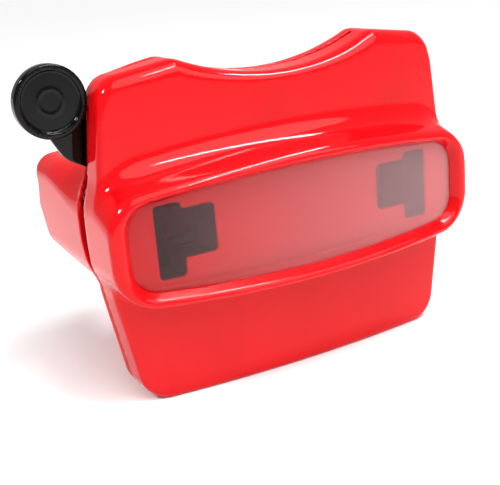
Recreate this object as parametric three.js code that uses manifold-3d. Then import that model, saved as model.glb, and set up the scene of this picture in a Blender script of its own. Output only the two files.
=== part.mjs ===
// Stereo reel viewer: a hand-held viewer for round picture reels with paired film chips.
// Millimetres, +Z up. The window faces -Y, the eyepieces face +Y and the lever is on the -X side.
// Every piece is drawn about the viewer's centre plane X = 0, standing on Z = 0. Y = 0 is just
// behind the front corners. At the end the whole group is centred on its own footprint.

import * as THREE from "three";
import * as BufferGeometryUtils from "three/addons/utils/BufferGeometryUtils.js";
import Module from "manifold-3d";

const wasm = await Module();
wasm.setup();

// ---------------------------------------------------------------- driving dimensions

const WALL = 2; // moulded wall of both shells
const GAP = 0.35; // clearance between neighbouring pieces

// picture reel that the viewer takes
const REEL_RADIUS = 45;
const SLOT_RADIUS = 20; // drive slots of the reel
const HALF_SCENE = Math.PI / 7; // half of the turn between two of the reel's seven scenes

// optics
const EYE_HALF = 32; // half of the distance between the two optical axes
const EYE_Z = 49.7; // height of the optical axes and of the reel's centre

// housing seen from the front
const BASE_HALF = 50.8;
const WAIST_HALF = 57;
const SHOULDER_HALF = 53.6;
const SHOULDER_Z = 91.9;
const PEAK_X = 31.97;
const PEAK_Z = 95.15;
const SCOOP_RADIUS = 75;
const SCOOP_Z = 88.1;
const SCOOP_HALF = 28.5;

// housing seen from above
const FRONT_Y = -2.2; // front face at its outer ends
const FRONT_BOW = 4.2; // how far the middle of the front stands ahead of its ends
const BODY_BOW_HALF = 55; // half of the width that the bow is measured over
const HOOD_BOW_HALF = 58;
const PART_Y = 7; // joint between the two shells
const BACK_Y = 13; // back of the flat upper part of the rear shell
const FOOT_Y = 36; // back of the foot under the eyepiece hood
const FOOT_HALF = 36;

// Bands seen from the front, wide and with round ends: half width, bottom and top at the middle,
// how far the bottom rises and the top drops towards the ends, and the corners.
const HOOD = { half: 59.3, bottom: 29.7, sag: 1.6, top: 69.3, arch: 3.4, corner: 11 };
const EYE_HOOD = { half: 59.3, bottom: 29.7, sag: 1.6, top: 69.3, arch: 2.5, corner: 8 };
const WINDOW = { half: 54, bottom: 33.2, sag: 2, top: 62.9, arch: 3, corner: 5.5 };

// window hood and window
const HOOD_FRONT_Y = -12.3;
const HOOD_BOW = 5.8;
const HOOD_SLOPE = 0.4; // of its top, down to the front
const RIM_FLARE = 1.6; // how much wider the recess is at the rim than at the window
const PANE_Y = -10.1; // front face of the window at its ends
const PANE_THICK = 1.2;
const PANE_BOW = 4.6;
const FLOOR_Y = -8.5; // floor of the window recess, behind the window
const SQUARE_Z = 49.1; // middle of the square part of the light openings
const BAR_Z = 47.7; // middle of their outer bar

// eyepiece hood and eye tubes
const EYE_HOOD_BACK = 55;
const TUBE_START = 45;
const TUBE_END = 72;
const TUBE_OUTER = 16.5;
const TUBE_INNER = 14.4;
const BARREL_RADIUS = 10.8; // bore of the tube ahead of the lens
const LENS_RADIUS = 12;
const LENS_SEAT_Y = 54; // flange that the lens rests against
const LENS_EDGE = 2.4; // thickness at the rim
const LENS_BULGE = 1.9; // height of each curved face
const LENS_MIDDLE_Y = LENS_SEAT_Y + 0.7 + LENS_EDGE / 2;
const RING_WIDTH = 1.9;
const NOSE_HALF = 15;
const NOSE_TOP = 46;
const NOSE_APEX_Y = 22;

// reel track, from the front to the back
const GUIDE_FRONT = 2.6;
const TRACK_FRONT = 4;
const TRACK_BACK = 7;
const PLATE_BACK = 8.4;
const LEVER_FRONT = 8.8;
const LEVER_BACK = 10.8;

// advance lever: its claw crosses the reel's slot circle as a chord that turns the reel one scene
const LEVER_SWING = THREE.MathUtils.degToRad(28);
const CRANK_TILT = THREE.MathUtils.degToRad(-34.2); // from the pivot through the reel's centre
const CLAW_REACH = (SLOT_RADIUS * Math.sin(HALF_SCENE)) / Math.sin(LEVER_SWING / 2);
const PIVOT_TO_REEL = CLAW_REACH * Math.cos(LEVER_SWING / 2) - SLOT_RADIUS * Math.cos(HALF_SCENE);
const PIVOT_X = -PIVOT_TO_REEL * Math.cos(CRANK_TILT);
const PIVOT_Z = EYE_Z - PIVOT_TO_REEL * Math.sin(CRANK_TILT);
const CLAW_REST = CRANK_TILT - LEVER_SWING / 2;
const CLAW_PUSHED = CRANK_TILT + LEVER_SWING / 2;
const RIVET_REACH = 22;
const CLAW_ROOT = 18.8;
const RIVET_X = PIVOT_X + RIVET_REACH * Math.cos(CLAW_REST);
const RIVET_Z = PIVOT_Z + RIVET_REACH * Math.sin(CLAW_REST);
const RIVET_RADIUS = 0.9;
const SPRING_WIRE_HALF = 0.4;
const SPRING_HOOK_X = -27; // where the return spring hooks into the lever
const SPRING_HOOK_Z = 62.5;
const FRAME_HOOK_X = -3; // and where it rests against the mechanism plate
const FRAME_HOOK_Z = 65.3;
const BOSS_BACK = LEVER_BACK + 1.2; // the lever's boss on the pivot pin
const THUMB_X = -64.3;
const THUMB_Z = 87.7;
const THUMB_RADIUS = 9.8;
const THUMB_FRONT = 3.8;
const THUMB_BACK = 7.2;
const SLOT_BOTTOM = 45.5; // cut in the rear shell's side that the lever comes out of
const SLOT_TOP = 87.6;

const PIN_RADIUS = 2.25;
const PIN_TIP_RADIUS = 1.2;
const PIN_HEAD_Y = 13.4;

// screws that hold the two shells together, and the mechanism plate on the rear shell
const CASE_SCREWS = [
  ["case_screw_upper_left", -38, 87],
  ["case_screw_upper_right", 38, 87],
  ["case_screw_lower_left", -42.5, 12],
  ["case_screw_lower_right", 42.5, 12],
];
const PLATE_SCREWS = [
  ["plate_screw_left", -45, 26.5],
  ["plate_screw_right", 45, 26.5],
];
const CASE_SCREW_RADIUS = 1.2;
const PLATE_SCREW_RADIUS = 1;
const SCREW_HEAD_RADIUS = 2.8;
const SCREW_HEAD_Y = BACK_Y - 1.7;

// lengths that carry a cutting tool well past the faces that it cuts
const FAR_FRONT = -30;
const FAR_BACK = 80;

// ---------------------------------------------------------------- materials

function plastic(color, roughness, extra = {}) {
  return new THREE.MeshStandardMaterial({ color, roughness, metalness: 0, ...extra });
}

function metal(color, roughness) {
  return new THREE.MeshStandardMaterial({ color, roughness, metalness: 1 });
}

const redPlastic = plastic(0xe81e26, 0.2);
const blackPlastic = plastic(0x0b0b0c, 0.3);
const darkPlastic = plastic(0x1c1b1b, 0.6);
const frosted = plastic(0xf2d9d8, 0.5, { transparent: true, opacity: 0.6 });
const clear = plastic(0xf4f8fa, 0.05, { transparent: true, opacity: 0.35 });
const steel = metal(0xb9bcc0, 0.35);
const springSteel = metal(0x8f9297, 0.4);
const brass = metal(0xb8924a, 0.35);

// ---------------------------------------------------------------- solids

function toSolid(geometry) {
  const bare = geometry.clone();
  bare.deleteAttribute("normal");
  bare.deleteAttribute("uv");
  const merged = BufferGeometryUtils.mergeVertices(bare, 1e-4);
  const mesh = new wasm.Mesh({
    numProp: 3,
    vertProperties: new Float32Array(merged.attributes.position.array),
    triVerts: new Uint32Array(merged.index.array),
  });
  mesh.merge();
  return new wasm.Manifold(mesh);
}

function toMesh(name, solid, material) {
  const result = solid.getMesh();
  const geometry = new THREE.BufferGeometry();
  geometry.setAttribute("position", new THREE.BufferAttribute(result.vertProperties, 3));
  geometry.setIndex(new THREE.BufferAttribute(result.triVerts, 1));
  geometry.computeVertexNormals();
  const mesh = new THREE.Mesh(geometry, material);
  mesh.name = name;
  return mesh;
}

function union(solids) {
  return solids.reduce((whole, next) => whole.add(next));
}

// A shape drawn as seen from the front, X to the right and Z up, made solid from yFront to yBack.
function plate(shape, yFront, yBack, curveSegments = 8) {
  const settings = { depth: yBack - yFront, bevelEnabled: false, curveSegments };
  const geometry = new THREE.ExtrudeGeometry(shape, settings);
  geometry.rotateX(Math.PI / 2);
  geometry.translate(0, yBack, 0);
  return toSolid(geometry);
}

// A shape drawn as seen from above, X to the right and Y up the page, made solid from z0 to z1.
function column(shape, z0, z1, curveSegments = 8) {
  const settings = { depth: z1 - z0, bevelEnabled: false, curveSegments };
  const geometry = new THREE.ExtrudeGeometry(shape, settings);
  geometry.translate(0, 0, z0);
  return toSolid(geometry);
}

// A shape drawn as seen from the side, Y to the right and Z up, made solid from x0 to x1.
function sideBar(shape, x0, x1, curveSegments = 8) {
  const settings = { depth: x1 - x0, bevelEnabled: false, curveSegments };
  const geometry = new THREE.ExtrudeGeometry(shape, settings);
  const turn = new THREE.Matrix4().makeBasis(
    new THREE.Vector3(0, 1, 0),
    new THREE.Vector3(0, 0, 1),
    new THREE.Vector3(1, 0, 0),
  );
  geometry.applyMatrix4(turn);
  geometry.translate(x0, 0, 0);
  return toSolid(geometry);
}

// A profile of [radius, y] points turned about a line parallel to Y through (x, z).
function turned(profile, x, z, segments = 28) {
  const points = profile.map(([radius, y]) => new THREE.Vector2(radius, y));
  const geometry = new THREE.LatheGeometry(points, segments);
  geometry.translate(x, 0, z);
  return toSolid(geometry);
}

function rod(radius, yFront, yBack, x, z, segments = 16) {
  return turned([[0, yFront], [radius, yFront], [radius, yBack], [0, yBack]], x, z, segments);
}

function pipe(inner, outer, yFront, yBack, x, z, segments = 28) {
  const profile = [[inner, yFront], [outer, yFront], [outer, yBack], [inner, yBack], [inner, yFront]];
  return turned(profile, x, z, segments);
}

// ---------------------------------------------------------------- outlines

// Turns corners of [x, y, radius] into points, with each rounded corner as a tangent arc.
function roundedPoints(corners, closed, arcSteps = 4) {
  const points = [];
  const count = corners.length;
  corners.forEach(([x, y, radius = 0], i) => {
    const isEnd = !closed && (i === 0 || i === count - 1);
    const corner = new THREE.Vector2(x, y);
    if (radius === 0 || isEnd) {
      points.push(corner);
      return;
    }
    const before = corners[(i - 1 + count) % count];
    const after = corners[(i + 1) % count];
    const back = new THREE.Vector2(before[0] - x, before[1] - y).normalize();
    const ahead = new THREE.Vector2(after[0] - x, after[1] - y).normalize();
    const half = Math.acos(THREE.MathUtils.clamp(back.dot(ahead), -1, 1)) / 2;
    const tangent = radius / Math.tan(half);
    if (tangent < 0.2) {
      points.push(corner);
      return;
    }
    const middle = back.clone().add(ahead).normalize();
    const centre = corner.clone().addScaledVector(middle, radius / Math.sin(half));
    const first = corner.clone().addScaledVector(back, tangent).sub(centre);
    const last = corner.clone().addScaledVector(ahead, tangent).sub(centre);
    const turn = Math.atan2(first.cross(last), first.dot(last));
    for (let step = 0; step <= arcSteps; step += 1) {
      const spoke = first.clone().rotateAround(new THREE.Vector2(), (turn * step) / arcSteps);
      points.push(centre.clone().add(spoke));
    }
  });
  return points;
}

// A closed shape from its right half, which runs from the bottom centre to the top centre.
function mirrored(rightHalf) {
  const leftHalf = rightHalf
    .slice(1, -1)
    .reverse()
    .map((point) => new THREE.Vector2(-point.x, point.y));
  return new THREE.Shape([...rightHalf, ...leftHalf]);
}

function roundedShape(corners, arcSteps) {
  return new THREE.Shape(roundedPoints(corners, true, arcSteps));
}

function rectangle(x0, x1, z0, z1, radius = 0) {
  return roundedShape([[x0, z0, radius], [x1, z0, radius], [x1, z1, radius], [x0, z1, radius]], 4);
}

function scoopPoints(inset) {
  const points = [];
  const steps = 6;
  for (let step = 0; step <= steps; step += 1) {
    const x = SCOOP_HALF * (1 - step / steps);
    const radius = SCOOP_RADIUS + inset;
    points.push([x, SCOOP_Z + SCOOP_RADIUS - Math.sqrt(radius ** 2 - x ** 2)]);
  }
  return points;
}

// Front view of the housing: tapered sides, sloping shoulders and a scoop for taking out the reel.
function bodyShape(inset = 0) {
  const corners = [
    [0, inset],
    [BASE_HALF - inset, inset, 9 - inset],
    [WAIST_HALF - 0.4 - inset, 33, 12],
    [WAIST_HALF - inset, 64, 12],
    [SHOULDER_HALF - inset, SHOULDER_Z - inset, 7 - inset],
    [PEAK_X, PEAK_Z - inset, 6 - inset],
    ...scoopPoints(inset),
  ];
  return mirrored(roundedPoints(corners, false));
}

// Front view of a band: arched at its top and slightly at its bottom.
function bandShape(band, inset = 0) {
  const steps = 5;
  const archHalf = 48;
  const bottom = [];
  const top = [];
  for (let step = 0; step <= steps; step += 1) {
    const across = step / steps;
    const back = 1 - across;
    bottom.push([archHalf * across, band.bottom + band.sag * across ** 2 + inset]);
    top.push([archHalf * back, band.top - band.arch * back ** 2 - inset]);
  }
  const rise = (band.half / archHalf) ** 2;
  const corners = [
    ...bottom,
    [band.half - 0.2 - inset, band.bottom + band.sag * rise + inset, band.corner - inset],
    [band.half - inset, EYE_Z],
    [band.half - 0.4 - inset, band.top - band.arch * rise - inset, band.corner - inset],
    ...top,
  ];
  return mirrored(roundedPoints(corners, false));
}

// Everything behind a front that is bowed in plan: y at the ends, and how far the middle is ahead.
function behindBow(endY, bow, halfWidth, backY) {
  const shape = new THREE.Shape();
  const reach = 64;
  const steps = 14;
  shape.moveTo(-reach, backY);
  for (let step = 0; step <= steps; step += 1) {
    const x = -reach + (2 * reach * step) / steps;
    shape.lineTo(x, endY - bow * (1 - (x / halfWidth) ** 2));
  }
  shape.lineTo(reach, backY);
  return column(shape, -1, 100);
}

// The T-shaped light opening on one side: a square picture opening and a taller outer bar.
function lightShape(side, outset = 0) {
  const inner = 27.2 - outset;
  const step = 37.2 - outset;
  const outer = 45.1 + outset;
  const square = 6.9 + outset;
  const bar = 10.4 + outset;
  const corners = [
    [inner, SQUARE_Z - square, 1.5],
    [step, SQUARE_Z - square],
    [step, BAR_Z - bar, 1.2],
    [outer, BAR_Z - bar, 1.2],
    [outer, BAR_Z + bar, 1.2],
    [step, BAR_Z + bar, 1.2],
    [step, SQUARE_Z + square],
    [inner, SQUARE_Z + square, 1.5],
  ];
  return roundedShape(corners.map(([x, z, radius]) => [side * x, z, radius]), 3);
}

// The film opening of one eye, as wide as the picture on a film chip.
function filmShape(side) {
  const inner = side * (EYE_HALF - 5.6);
  const outer = side * (EYE_HALF + 5.6);
  return rectangle(Math.min(inner, outer), Math.max(inner, outer), EYE_Z - 6.4, EYE_Z + 6.4, 1.2);
}

// ---------------------------------------------------------------- housing shells

// Runs a cut for the lever through the left walls of the rear shell.
function leverSlot() {
  const inner = 50;
  const outer = 66;
  return plate(rectangle(-outer, -inner, SLOT_BOTTOM, SLOT_TOP, 1.5), PART_Y - 1, LEVER_BACK + 0.9);
}

// Everything above the window hood's top, which slopes down to the front from the body's face.
function aboveHood() {
  const start = FRONT_Y - FRONT_BOW;
  const end = FAR_FRONT;
  const drop = HOOD_SLOPE * (start - end);
  const corners = [[start, HOOD.top + 0.8], [start, 90], [end, 90], [end, HOOD.top + 0.8 - drop]];
  return sideBar(roundedShape(corners), -70, 70);
}

function frontShell() {
  const edge = PART_Y - GAP / 2;
  const past = PART_Y + 1;
  const floorThick = 1.5;
  const bossRadius = 3.4;
  const pilotRadius = CASE_SCREW_RADIUS + 0.15;
  const pilotEnd = 0.8;
  const ductWall = 1.4;
  const frontBow = behindBow(FRONT_Y, FRONT_BOW, BODY_BOW_HALF, edge);
  const innerBow = behindBow(FRONT_Y + WALL, FRONT_BOW, BODY_BOW_HALF, past);
  const hoodBow = behindBow(HOOD_FRONT_Y, HOOD_BOW, HOOD_BOW_HALF, edge);
  let shell = plate(bodyShape(), FAR_FRONT, edge).intersect(frontBow);
  shell = shell.add(plate(bandShape(HOOD), FAR_FRONT, edge).intersect(hoodBow).subtract(aboveHood()));
  shell = shell.subtract(plate(bodyShape(WALL), FAR_FRONT, past).intersect(innerBow));
  shell = shell.subtract(plate(bandShape(HOOD, WALL), FLOOR_Y + floorThick, past));
  shell = shell.subtract(plate(bandShape(WINDOW), FAR_FRONT, FLOOR_Y));
  shell = shell.subtract(plate(bandShape(WINDOW, -RIM_FLARE), FAR_FRONT, PANE_Y - PANE_BOW));
  const added = [];
  const cut = [];
  for (const [, x, z] of CASE_SCREWS) {
    added.push(rod(bossRadius, FRONT_Y - 0.2, edge, x, z, 12));
    cut.push(rod(pilotRadius, pilotEnd, past, x, z, 12));
  }
  for (const side of [-1, 1]) {
    added.push(plate(lightShape(side, ductWall), FLOOR_Y + 0.5, GUIDE_FRONT - GAP));
    cut.push(plate(lightShape(side), FLOOR_Y - 2, GUIDE_FRONT));
  }
  const slotHalf = SCOOP_HALF + 2;
  cut.push(plate(rectangle(-slotHalf, slotHalf, 80, 100), TRACK_FRONT + 0.1, past));
  shell = union([shell, ...added]);
  return cut.reduce((body, tool) => body.subtract(tool), shell);
}

// Side view of the eyepiece hood: a nearly level top and an underside that rises to the back.
function eyeHoodSide(inset = 0) {
  const corners = [
    [PART_Y - 2, 31 + inset],
    [16, 33 + inset],
    [EYE_HOOD_BACK - 3 - inset, 38 + inset, 6],
    [EYE_HOOD_BACK - inset, 51],
    [EYE_HOOD_BACK - inset, 66.6 - inset, 5 - inset],
    [PART_Y - 2, EYE_HOOD.top - inset],
  ];
  return roundedShape(corners);
}

// Plan view of the eyepiece hood, with rounded back corners.
function eyeHoodPlan(inset = 0) {
  const half = EYE_HOOD.half + 1 - inset;
  const back = EYE_HOOD_BACK - inset;
  const front = PART_Y - 3;
  const corner = 8 - inset;
  return roundedShape([[-half, front], [half, front], [half, back, corner], [-half, back, corner]]);
}

// Plan view of the foot that carries the weight behind the flat body.
function footPlan(inset = 0) {
  const half = FOOT_HALF - inset;
  const back = FOOT_Y - inset;
  const flare = FOOT_HALF + 2 - inset;
  const front = PART_Y - 3;
  const corner = 6 - inset;
  return roundedShape([[-flare, front], [flare, front], [half, back, corner], [-half, back, corner]]);
}

// The space for the user's nose, open at the back and at the bottom.
function noseSpace(outset = 0) {
  const half = NOSE_HALF + outset;
  const apex = NOSE_APEX_Y - outset;
  const corner = half * 0.8;
  const corners = [[-half, apex, corner], [half, apex, corner], [half, FAR_BACK], [-half, FAR_BACK]];
  return column(roundedShape(corners), -5, NOSE_TOP + outset);
}

function eyeHood(inset, front) {
  const outline = plate(bandShape(EYE_HOOD, inset), front, FAR_BACK);
  const side = sideBar(eyeHoodSide(inset), -70, 70);
  const plan = column(eyeHoodPlan(inset), 0, 100);
  return outline.intersect(side).intersect(plan);
}

function rearShell() {
  const edge = PART_Y + GAP / 2;
  const backWall = 1.6;
  const bossEnd = BACK_Y - 0.5;
  const slab = plate(bodyShape(), edge, BACK_Y);
  const foot = plate(bodyShape(), edge, FOOT_Y + 2).intersect(column(footPlan(), 0, 40));
  let shell = union([slab, foot, eyeHood(0, edge)]).subtract(noseSpace());
  const slabHollow = plate(bodyShape(WALL), PART_Y - 1, BACK_Y - backWall);
  const footHollow = plate(bodyShape(WALL), PART_Y - 1, FOOT_Y).intersect(column(footPlan(WALL), 0, 45));
  const hollow = union([slabHollow, footHollow, eyeHood(WALL, PART_Y - 1)]);
  shell = shell.subtract(hollow.subtract(noseSpace(WALL)));
  const added = [];
  const cut = [leverSlot()];
  for (const side of [-1, 1]) {
    cut.push(rod(TUBE_OUTER + GAP, TUBE_START - GAP, TUBE_END, side * EYE_HALF, EYE_Z, 32));
  }
  for (const [, x, z] of CASE_SCREWS) {
    added.push(rod(SCREW_HEAD_RADIUS + 1.4, edge, bossEnd, x, z, 12));
    cut.push(rod(CASE_SCREW_RADIUS + 0.55, 0, FAR_BACK, x, z, 12));
    cut.push(rod(SCREW_HEAD_RADIUS + 0.5, SCREW_HEAD_Y - 0.3, FAR_BACK, x, z, 12));
  }
  for (const [, x, z] of PLATE_SCREWS) {
    added.push(rod(PLATE_SCREW_RADIUS + 1.8, PLATE_BACK + GAP, bossEnd, x, z, 12));
    cut.push(rod(PLATE_SCREW_RADIUS + 0.25, 0, BACK_Y - 1, x, z, 12));
  }
  shell = union([shell, ...added]);
  return cut.reduce((body, tool) => body.subtract(tool), shell);
}

// ---------------------------------------------------------------- window and reel track

function diffuserWindow() {
  const front = behindBow(PANE_Y, PANE_BOW, BODY_BOW_HALF, 0);
  const back = behindBow(PANE_Y + PANE_THICK, PANE_BOW, BODY_BOW_HALF, 1);
  return plate(bandShape(WINDOW, GAP), FAR_FRONT, FLOOR_Y - 0.3).intersect(front).subtract(back);
}

// The outline that both track plates share.
function trackPlate(yFront, yBack) {
  const corners = [[-49, 21, 5], [49, 21, 5], [50, 50], [47, 75, 6], [-47, 75, 6], [-50, 50]];
  const outline = roundedShape(corners, 5);
  let body = plate(outline, yFront, yBack);
  for (const side of [-1, 1]) {
    body = body.subtract(plate(filmShape(side), yFront - 1, yBack + 1));
  }
  return body;
}

// Front plate of the reel track, with the rim that cradles the lower half of the reel.
function reelGuide() {
  const plateBody = trackPlate(GUIDE_FRONT, TRACK_FRONT);
  const rim = pipe(REEL_RADIUS + 0.6, REEL_RADIUS + 2.2, GUIDE_FRONT, TRACK_BACK - GAP, 0, EYE_Z, 56);
  const lower = plate(rectangle(-43.5, 43.5, 2, 36), 0, 12);
  return plateBody.add(rim.intersect(lower));
}

// The arc-shaped slot that the claw moves in.
function clawSlot(halfWidth, yFront, yBack) {
  const margin = 0.07;
  const shape = new THREE.Shape();
  const from = CLAW_REST - margin;
  const to = CLAW_PUSHED + margin;
  shape.absarc(PIVOT_X, PIVOT_Z, CLAW_REACH + halfWidth, from, to, false);
  shape.absarc(PIVOT_X, PIVOT_Z, CLAW_REACH - halfWidth, to, from, true);
  return plate(shape, yFront, yBack);
}

function mechanismPlate() {
  let body = trackPlate(TRACK_BACK, PLATE_BACK);
  body = body.subtract(clawSlot(2.4, TRACK_BACK - 1, PLATE_BACK + 1));
  body = body.subtract(rod(PIN_TIP_RADIUS + 0.3, 0, FAR_BACK, PIVOT_X, PIVOT_Z, 24));
  for (const [, x, z] of PLATE_SCREWS) {
    body = body.subtract(rod(PLATE_SCREW_RADIUS + 0.6, 0, FAR_BACK, x, z, 12));
  }
  return body;
}

// A bowed strip that presses the reel against the front plate.
function reelSpring(x) {
  const thick = 0.3;
  const halfLength = 9;
  const rise = 1.3;
  const radius = (halfLength ** 2 + rise ** 2) / (2 * rise);
  const spread = Math.asin(halfLength / radius);
  const centreY = TRACK_BACK - GAP - rise + radius;
  const centreZ = 65;
  const shape = new THREE.Shape();
  shape.absarc(centreY, centreZ, radius, Math.PI - spread, Math.PI + spread, false);
  shape.absarc(centreY, centreZ, radius - thick, Math.PI + spread, Math.PI - spread, true);
  return sideBar(shape, x - 2.5, x + 2.5);
}

// ---------------------------------------------------------------- optics

// A round tube bonded into the eyepiece hood: a seat for the lens, then a mouth that flares to the eye.
function eyeTube(side) {
  const seat = LENS_RADIUS + GAP;
  const flareStart = LENS_SEAT_Y + 8;
  const flareEnd = flareStart + 4;
  return turned([
    [BARREL_RADIUS, TUBE_START],
    [TUBE_OUTER, TUBE_START],
    [TUBE_OUTER, TUBE_END - 1],
    [TUBE_OUTER - 0.6, TUBE_END],
    [TUBE_INNER + 0.4, TUBE_END],
    [TUBE_INNER, flareEnd],
    [seat, flareStart],
    [seat, LENS_SEAT_Y],
    [BARREL_RADIUS, LENS_SEAT_Y],
    [BARREL_RADIUS, TUBE_START],
  ], side * EYE_HALF, EYE_Z, 32);
}

function lens(side) {
  const radius = (LENS_RADIUS ** 2 + LENS_BULGE ** 2) / (2 * LENS_BULGE);
  const spread = Math.asin(LENS_RADIUS / radius);
  const steps = 4;
  const curve = [];
  for (let step = 0; step <= steps; step += 1) {
    const angle = (spread * step) / steps;
    curve.push([radius * Math.sin(angle), LENS_BULGE - radius * (1 - Math.cos(angle))]);
  }
  const front = curve.map(([r, rise]) => [r, LENS_MIDDLE_Y - LENS_EDGE / 2 - rise]);
  const back = curve.map(([r, rise]) => [r, LENS_MIDDLE_Y + LENS_EDGE / 2 + rise]).reverse();
  return turned([...front, ...back], side * EYE_HALF, EYE_Z, 32);
}

function lensRing(side) {
  const start = LENS_MIDDLE_Y + LENS_EDGE / 2 + GAP;
  const inner = LENS_RADIUS - 1.4;
  const profile = [
    [inner, start + 0.7],
    [LENS_RADIUS, start],
    [LENS_RADIUS, start + RING_WIDTH],
    [inner + 0.4, start + RING_WIDTH],
    [inner, start + 0.7],
  ];
  return turned(profile, side * EYE_HALF, EYE_Z, 32);
}

// ---------------------------------------------------------------- lever, claw and fasteners

// One moulding: a flat arm that widens round its pivot, and a dished disc for the thumb ahead of it.
function leverArm() {
  const arm = roundedShape([
    [THUMB_X + 1, THUMB_Z + 5, 2],
    [-53, 83.6, 8],
    [-28, 70.5, 8],
    [PIVOT_X + 3, PIVOT_Z + 8.2, 6],
    [PIVOT_X + 9, PIVOT_Z + 1, 5],
    [4.6, 43.4, 2],
    [-1.6, 37.8, 2],
    [PIVOT_X - 5.5, PIVOT_Z - 6.5, 5],
    [-36, 60.4],
    [-53, 66.6, 12],
    [-61.2, 71.2, 8],
    [-66, 80, 2],
  ]);
  const disc = turned([
    [0, THUMB_FRONT + 1],
    [THUMB_RADIUS - 2.6, THUMB_FRONT + 0.9],
    [THUMB_RADIUS - 1.4, THUMB_FRONT],
    [THUMB_RADIUS - 0.4, THUMB_FRONT],
    [THUMB_RADIUS, THUMB_FRONT + 0.5],
    [THUMB_RADIUS, THUMB_BACK - 0.6],
    [THUMB_RADIUS - 0.6, THUMB_BACK],
    [0, THUMB_BACK],
  ], THUMB_X, THUMB_Z, 36);
  const neck = rod(6, THUMB_BACK - 1, LEVER_BACK, THUMB_X, THUMB_Z, 24);
  const boss = rod(4.6, LEVER_FRONT + 0.5, BOSS_BACK, PIVOT_X, PIVOT_Z);
  const holes = [
    rod(PIN_RADIUS + 0.1, 0, FAR_BACK, PIVOT_X, PIVOT_Z, 24),
    rod(SPRING_WIRE_HALF + 0.5, 0, FAR_BACK, SPRING_HOOK_X, SPRING_HOOK_Z, 12),
    rod(RIVET_RADIUS + 0.15, 0, FAR_BACK, RIVET_X, RIVET_Z, 16),
  ];
  const lever = union([plate(arm, LEVER_FRONT, LEVER_BACK), disc, neck, boss]);
  return holes.reduce((body, hole) => body.subtract(hole), lever);
}

// Local frame of the claw: x runs from the lever's pivot to the claw, y is the depth.
function placeOnCrank(geometry) {
  geometry.rotateY(-CLAW_REST);
  geometry.translate(PIVOT_X, 0, PIVOT_Z);
  return toSolid(geometry);
}

// A spring-steel finger on the back of the lever, bent forward to reach the reel's drive slots.
function reelClaw() {
  const back = LEVER_BACK + GAP;
  const thick = 0.6;
  const shape = new THREE.Shape();
  shape.moveTo(CLAW_ROOT, back);
  shape.lineTo(CLAW_REACH - 0.5, back);
  shape.lineTo(CLAW_REACH - 0.5, TRACK_FRONT + 1.2);
  shape.lineTo(CLAW_REACH + 0.1, TRACK_FRONT + 0.8);
  shape.lineTo(CLAW_REACH + 0.5, TRACK_FRONT + 1.2);
  shape.lineTo(CLAW_REACH + 0.5, back + thick);
  shape.lineTo(CLAW_ROOT, back + thick);
  const settings = { depth: 3.2, bevelEnabled: false };
  const strip = new THREE.ExtrudeGeometry(shape, settings);
  strip.translate(0, 0, -1.6);
  return placeOnCrank(strip).subtract(rod(RIVET_RADIUS + 0.15, 0, FAR_BACK, RIVET_X, RIVET_Z, 16));
}

// A pin with a domed head at one end. The tip may lie ahead of the head or behind it.
function headedPin(radius, yHead, yTip, headRadius, headHeight, x, z) {
  const out = Math.sign(yHead - yTip);
  const profile = [
    [0, yTip],
    [radius, yTip],
    [radius, yHead],
    [headRadius, yHead],
    [headRadius, yHead + out * headHeight * 0.6],
    [headRadius * 0.7, yHead + out * headHeight],
    [0, yHead + out * headHeight],
  ];
  return turned(out > 0 ? profile : profile.reverse(), x, z, 12);
}

function crossScrew(x, z, yHead, yTip, shank, headRadius, headHeight) {
  const screw = headedPin(shank, yHead, yTip, headRadius, headHeight, x, z);
  const top = yHead + headHeight;
  const floor = top - 0.9;
  const arm = headRadius * 0.6;
  const width = 0.4;
  const flat = plate(rectangle(x - arm, x + arm, z - width, z + width), floor, top + 1);
  const upright = plate(rectangle(x - width, x + width, z - arm, z + arm), floor, top + 1);
  return screw.subtract(flat.add(upright));
}

// A shouldered pin in the track plate: head at the back, shoulder as the lever's bearing.
function pivotPin() {
  const headRadius = PIN_RADIUS + 1.35;
  return turned([
    [0, TRACK_BACK + 0.2],
    [PIN_TIP_RADIUS, TRACK_BACK + 0.2],
    [PIN_TIP_RADIUS, LEVER_FRONT - 0.1],
    [PIN_RADIUS, LEVER_FRONT - 0.1],
    [PIN_RADIUS, PIN_HEAD_Y],
    [headRadius, PIN_HEAD_Y],
    [headRadius, PIN_HEAD_Y + 0.6],
    [headRadius - 0.5, PIN_HEAD_Y + 1.2],
    [0, PIN_HEAD_Y + 1.2],
  ], PIVOT_X, PIVOT_Z, 24);
}

function washer() {
  return pipe(PIN_RADIUS + GAP, 5.2, BOSS_BACK + 0.3, PIN_HEAD_Y - 0.3, PIVOT_X, PIVOT_Z, 24);
}

// A straight bar between two points seen from the front, as wide as the spring's wire.
function wire(x0, z0, x1, z1, yFront, yBack) {
  const along = new THREE.Vector2(x1 - x0, z1 - z0).normalize().multiplyScalar(SPRING_WIRE_HALF);
  const side = new THREE.Vector2(-along.y, along.x);
  const ends = [[x0, z0, -1, -1], [x1, z1, 1, -1], [x1, z1, 1, 1], [x0, z0, -1, 1]];
  const points = ends.map(([x, z, a, s]) => new THREE.Vector2(x, z)
    .addScaledVector(along, a)
    .addScaledVector(side, s));
  return plate(new THREE.Shape(points), yFront, yBack);
}

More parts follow.
